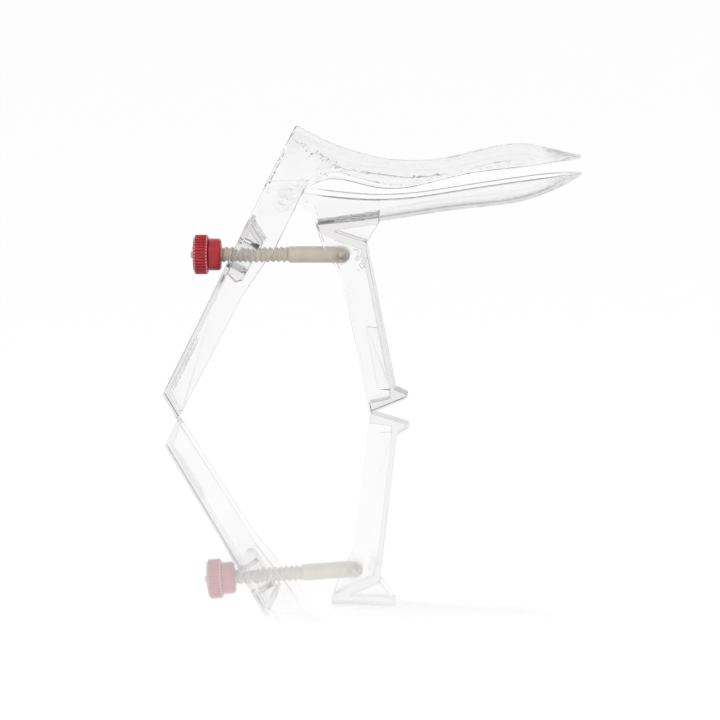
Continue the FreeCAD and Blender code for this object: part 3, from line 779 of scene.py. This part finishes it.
# %% Geometry Nodes as steps
class Steps:
    """A Geometry Nodes tree with named inputs and one method that adds a step."""

    def __init__(self, name, inputs):
        self.tree = bpy.data.node_groups.new(name, "GeometryNodeTree")
        face = self.tree.interface
        face.new_socket("Geometry", in_out="INPUT", socket_type="NodeSocketGeometry")
        face.new_socket("Geometry", in_out="OUTPUT", socket_type="NodeSocketGeometry")
        self.names = {}
        for title, value in inputs.items():
            kind = "NodeSocketInt" if isinstance(value, int) else "NodeSocketFloat"
            self.names[title] = face.new_socket(title, in_out="INPUT", socket_type=kind).identifier
        self.values = inputs
        self.given = self.tree.nodes.new("NodeGroupInput").outputs

    def step(self, kind, inputs=None, output=0, **settings):
        made = self.tree.nodes.new(kind)
        for name, value in settings.items():
            setattr(made, name, value)
        for name, value in (inputs or {}).items():
            if isinstance(value, bpy.types.NodeSocket):
                self.tree.links.new(value, made.inputs[name])
            else:
                made.inputs[name].default_value = value
        return made.outputs[output]

    def sum(self, operation, first, second, third=0.0):
        return self.step("ShaderNodeMath", {0: first, 1: second, 2: third}, operation=operation)

    def vector(self, x=0.0, y=0.0, z=0.0):
        return self.step("ShaderNodeCombineXYZ", {"X": x, "Y": y, "Z": z})

    def bar(self, radius, length):
        """A round bar with flat ends."""
        return self.step("GeometryNodeMeshCylinder", {
            "Vertices": 14, "Side Segments": 1, "Radius": radius, "Depth": length})

    def made(self, name, geometry, finish):
        """Runs the tree on an empty mesh and returns the object with a plain mesh."""
        real = self.step("GeometryNodeRealizeInstances", {0: geometry})
        painted = self.step("GeometryNodeSetMaterial", {"Geometry": real, "Material": finish})
        self.tree.links.new(painted, self.tree.nodes.new("NodeGroupOutput").inputs[0])
        holder = link(name, bpy.data.meshes.new(name))
        modifier = holder.modifiers.new(name, "NODES")
        modifier.node_group = self.tree
        for title, value in self.values.items():
            modifier[self.names[title]] = value
        return evaluated(holder)


print("geometry helpers are ready")

# %% [markdown]
# The ridge of the thread is a round bar that winds round the root. It is a spiral, with a small
# circle swept along it, and a radius that fades at both ends, so that the thread runs out as it
# does in a mould. The turns follow from the length and the pitch of the nut's joint.

# %% Thread
PITCH, RIDGE_R, CREST_R = 2.2, 0.66, 3.1
THREAD_START = 22.0
RUN_OUT_TURNS, THINNEST_SHARE = 0.4, 0.25


def thread_ridge():
    turns = (THREAD_END - THREAD_START) / PITCH
    tree = Steps("thread_ridge", {
        "Turns": turns, "Length": (THREAD_END - THREAD_START) * MM,
        "Centre radius": (CREST_R - RIDGE_R) * MM, "Ridge radius": RIDGE_R * MM,
        "Run out": RUN_OUT_TURNS / turns})
    spiral = tree.step("GeometryNodeCurveSpiral", {
        "Resolution": 48, "Rotations": tree.given["Turns"], "Height": tree.given["Length"],
        "Start Radius": tree.given["Centre radius"], "End Radius": tree.given["Centre radius"]})
    upright = tree.step("GeometryNodeSetCurveNormal", {"Curve": spiral}, mode="Z_UP")
    share = tree.step("GeometryNodeSplineParameter")
    rise = tree.sum("DIVIDE", share, tree.given["Run out"])
    fall = tree.sum("DIVIDE", tree.sum("SUBTRACT", 1.0, share), tree.given["Run out"])
    fade = tree.sum("MINIMUM", tree.sum("MINIMUM", rise, fall), 1.0)
    sized = tree.step("GeometryNodeSetCurveRadius",
                      {"Curve": upright, "Radius": tree.sum("MAXIMUM", fade, THINNEST_SHARE)})
    circle = tree.step("GeometryNodeCurvePrimitiveCircle",
                       {"Resolution": 12, "Radius": tree.given["Ridge radius"]})
    swept = tree.step("GeometryNodeCurveToMesh",
                      {"Curve": sized, "Profile Curve": circle, "Fill Caps": True})
    smooth = tree.step("GeometryNodeSetShadeSmooth", {"Geometry": swept, "Shade Smooth": True})
    made = tree.made("screw_thread", smooth, IVORY)
    made.data.transform(along_screw @ Matrix.Translation((0, 0, THREAD_START * MM)))
    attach(made, "swing_screw")
    return made


thread = thread_ridge()
print("thread", len(thread.data.polygons), "faces")

# %% [markdown]
# The rear handle has a field of fine ribs on the inner side of its web, low down, where it is
# pressed. A bump could draw them from behind, but from the side they show as a row of dashes, so
# they are real. One rib is a lying bar that stands in the web with its foot, and Geometry Nodes
# repeat it up the handle. The handle leans about the hinge, and so do the ribs.

# %% Grip ribs
LEG_LEAN, WEB_BACK, LEG_WALL = math.radians(28.6), 9.1, 1.8
GRIP_LOW, GRIP_COUNT, GRIP_PITCH, GRIP_LENGTH = -89.0, 22, 1.05, 10.6
GRIP_R, GRIP_REACH, GRIP_OUT = 0.25, 4.2, 0.65
DETAIL_ANGLE = math.radians(45)
hinge = Vector(joints["valve_hinge"]["pos_m"])
along_leg = Matrix.Translation(hinge) @ Matrix.Rotation(LEG_LEAN, 4, "Y")


def clear_detail(made, body):
    """Shades a small clear moulding and lets it ride on its valve."""
    work = bmesh.new()
    work.from_mesh(made.data)
    shade(work, DETAIL_ANGLE)
    work.to_mesh(made.data)
    work.free()
    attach(made, body)
    return made


def grip_ribs():
    tree = Steps("grip_ribs", {"Count": GRIP_COUNT, "Pitch": GRIP_PITCH * MM,
                               "Rib radius": GRIP_R * MM, "Rib length": GRIP_LENGTH * MM,
                               "Rib reach": GRIP_REACH})
    line = tree.step("GeometryNodeMeshLine", {"Count": tree.given["Count"],
                                              "Offset": tree.vector(z=tree.given["Pitch"])})
    bar = tree.bar(tree.given["Rib radius"], tree.given["Rib length"])
    lying = tree.step("GeometryNodeTransform", {
        "Geometry": bar, "Rotation": (math.pi / 2, 0, 0),
        "Scale": tree.vector(tree.given["Rib reach"], 1.0, 1.0)})
    row = tree.step("GeometryNodeInstanceOnPoints", {"Points": line, "Instance": lying})
    made = tree.made("grip_ribs", row, CLEAR_RIBS)
    made.data.transform(along_leg @ Matrix.Translation(
        (Vector((LEG_WALL - WEB_BACK + GRIP_OUT, 0, GRIP_LOW)) * MM)))
    return clear_detail(made, "upper")


grip = grip_ribs()
print("grip ribs", len(grip.data.polygons), "faces")

# %% [markdown]
# Where the screw's socket meets the web of the front handle, the mould leaves small steps and rings
# on both side walls. They are too irregular for a pattern, so each is drawn as a line in the side
# view. A thin round bar follows the line, sunk by half into the wall.

# %% Socket marks
FRONT_HALF, MARK_R, RING_POINTS = 7.5, 0.34, 20
SOCKET_STEPS = [[(-6.7, 65.9), (-4.7, 65.6), (-3.5, 63.7), (-3.4, 61.3), (-1.3, 61.0)],
                [(-5.4, 58.2), (-4.2, 57.0)]]
SOCKET_RINGS = [(-3.3, 59.2, 0.9), (-5.2, 62.2, 0.6)]


def raised_line(name, points, side, closed=False):
    """A thin round bar through points of the handle's side view, on one side wall."""
    curve = bpy.data.curves.new(name, "CURVE")
    curve.dimensions, curve.bevel_depth, curve.bevel_resolution = "3D", MARK_R * MM, 3
    curve.use_fill_caps = True
    spline = curve.splines.new("POLY")
    spline.points.add(len(points) - 1)
    for spot, (x, z) in zip(spline.points, points):
        spot.co = (x * MM, side * FRONT_HALF * MM, z * MM, 1.0)
    spline.use_cyclic_u = closed
    drawn = link(name, curve)
    view = bpy.context.evaluated_depsgraph_get()
    mesh = bpy.data.meshes.new_from_object(drawn.evaluated_get(view))
    bpy.data.objects.remove(drawn)
    mesh.materials.clear()
    mesh.materials.append(CLEAR_PLASTIC)
    return clear_detail(link(name, mesh), "lower")


def ring_points(x, z, radius):
    turns = [2 * math.pi * k / RING_POINTS for k in range(RING_POINTS)]
    return [(x + radius * math.cos(a), z + radius * math.sin(a)) for a in turns]


def socket_marks():
    marks = []
    for side, word in ((-1, "near"), (1, "far")):
        marks += [raised_line(f"socket_step_{word}_{number}", points, side)
                  for number, points in enumerate(SOCKET_STEPS)]
        marks += [raised_line(f"socket_ring_{word}_{number}", ring_points(*ring), side, closed=True)
                  for number, ring in enumerate(SOCKET_RINGS)]
    return marks


marks = socket_marks()
print("socket marks", len(marks))

# %% [markdown]
# The thumb nut is a wheel that the finger turns, so its rim is covered in fine straight ribs. The
# wheel is spun first. Cutting grooves into it would leave sharp crests, so one rib is a rounded
# bar, and Geometry Nodes set copies of it round the rim.

# %% Thumb nut
WHEEL_R, WHEEL_START, WHEEL_LENGTH, RIB_COUNT = 7.9, 53.4, 5.9, 36
RIB_HIGH, RIB_WIDE, RIB_SHORTER, RIB_ROUND = 0.55, 0.42, 0.9, 0.18
BORE_R, HUB_R, HUB_START = 3.35, 4.55, 49.45
INNER_ROUND, OUTER_ROUND = 0.3, 0.7
FACE_GROOVE = [(0.0, 5.2), (-0.5, 4.7), (-0.5, 4.1), (0.0, 3.8)]
RIB_CORNER = math.radians(60)


def nut_wheel():
    core_r, low, high = WHEEL_R - RIB_HIGH, WHEEL_START, WHEEL_START + WHEEL_LENGTH
    profile = [(HUB_START, BORE_R), (HUB_START, HUB_R), (low, HUB_R), (low, core_r - INNER_ROUND)]
    profile += arc(low + INNER_ROUND, core_r - INNER_ROUND, INNER_ROUND, -90, 0)
    profile += arc(high - OUTER_ROUND, core_r - OUTER_ROUND, OUTER_ROUND, 0, 90)
    profile += [(high + dip, radius) for dip, radius in FACE_GROOVE] + [(high, BORE_R)]
    return placed(spun(profile, closed=True), "nut_wheel", RED)


def rounded(made):
    """Rounds the ends of the ribs and shades them smooth."""
    work = bmesh.new()
    work.from_mesh(made.data)
    bevel(work, [edge for edge in work.edges if edge.calc_face_angle(0.0) > RIB_CORNER],
          RIB_ROUND * MM, segments=2)
    for face in work.faces:
        face.smooth = True
    work.to_mesh(made.data)
    work.free()
    return made


def nut_ribs():
    tree = Steps("nut_ribs", {
        "Count": RIB_COUNT, "Rim radius": (WHEEL_R - RIB_HIGH) * MM, "Rib radius": RIB_WIDE * MM,
        "Rib length": (WHEEL_LENGTH - RIB_SHORTER) * MM, "Rib height": RIB_HIGH / RIB_WIDE})
    rim = tree.step("GeometryNodeMeshCircle",
                    {"Vertices": tree.given["Count"], "Radius": tree.given["Rim radius"]})
    bar = tree.bar(tree.given["Rib radius"], tree.given["Rib length"])
    tall = tree.step("GeometryNodeTransform", {
        "Geometry": bar, "Scale": tree.vector(tree.given["Rib height"], 1.0, 1.0)})
    outwards = tree.step("FunctionNodeAlignRotationToVector",
                         {"Vector": tree.step("GeometryNodeInputPosition")}, axis="X", pivot_axis="Z")
    around = tree.step("GeometryNodeInstanceOnPoints",
                       {"Points": rim, "Instance": tall, "Rotation": outwards})
    made = rounded(tree.made("nut_ribs", around, RED))
    made.data.transform(along_screw @ Matrix.Translation(
        (0, 0, (WHEEL_START + 0.5 * WHEEL_LENGTH - 0.05) * MM)))
    return made


wheel, ribs = nut_wheel(), nut_ribs()
for made in (wheel, ribs):
    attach(made, "nut")
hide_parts("thumb_nut")
print("wheel", len(wheel.data.polygons), "faces, ribs", len(ribs.data.polygons))

# %% [markdown]
# The thrust collar is a smooth cup that bears on the rear handle while the wheel turns against it.
# It could be one piece with the wheel to look at, but it doesn't turn with it, so it is spun by
# itself. Its front edge is well rounded and a fine groove marks the seam to the wheel.

# %% Thrust collar
COLLAR_R, COLLAR_START, COLLAR_END, COLLAR_LIP, CUP_R = 6.4, 48.3, 53.15, 0.9, 4.8
COLLAR_ROUND, SEAM_ROUND = 1.3, 0.2


def thrust_collar():
    profile = [(COLLAR_START, BORE_R), (COLLAR_START, COLLAR_R - COLLAR_ROUND)]
    profile += arc(COLLAR_START + COLLAR_ROUND, COLLAR_R - COLLAR_ROUND, COLLAR_ROUND, -90, 0,
                   steps=9)[1:]
    profile += arc(COLLAR_END - SEAM_ROUND, COLLAR_R - SEAM_ROUND, SEAM_ROUND, 0, 90)
    profile += [(COLLAR_END, CUP_R), (COLLAR_START + COLLAR_LIP, CUP_R),
                (COLLAR_START + COLLAR_LIP, BORE_R)]
    made = placed(spun(profile, closed=True), "collar_cup", RED)
    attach(made, "collar")
    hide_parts("thrust_collar")
    return made


collar = thrust_collar()
print("collar", len(collar.data.polygons), "faces")

# %% [markdown]
# The view settings stay plain, so the white of the table stays white.

# %% Finish
bpy.context.scene.view_settings.view_transform = "Standard"
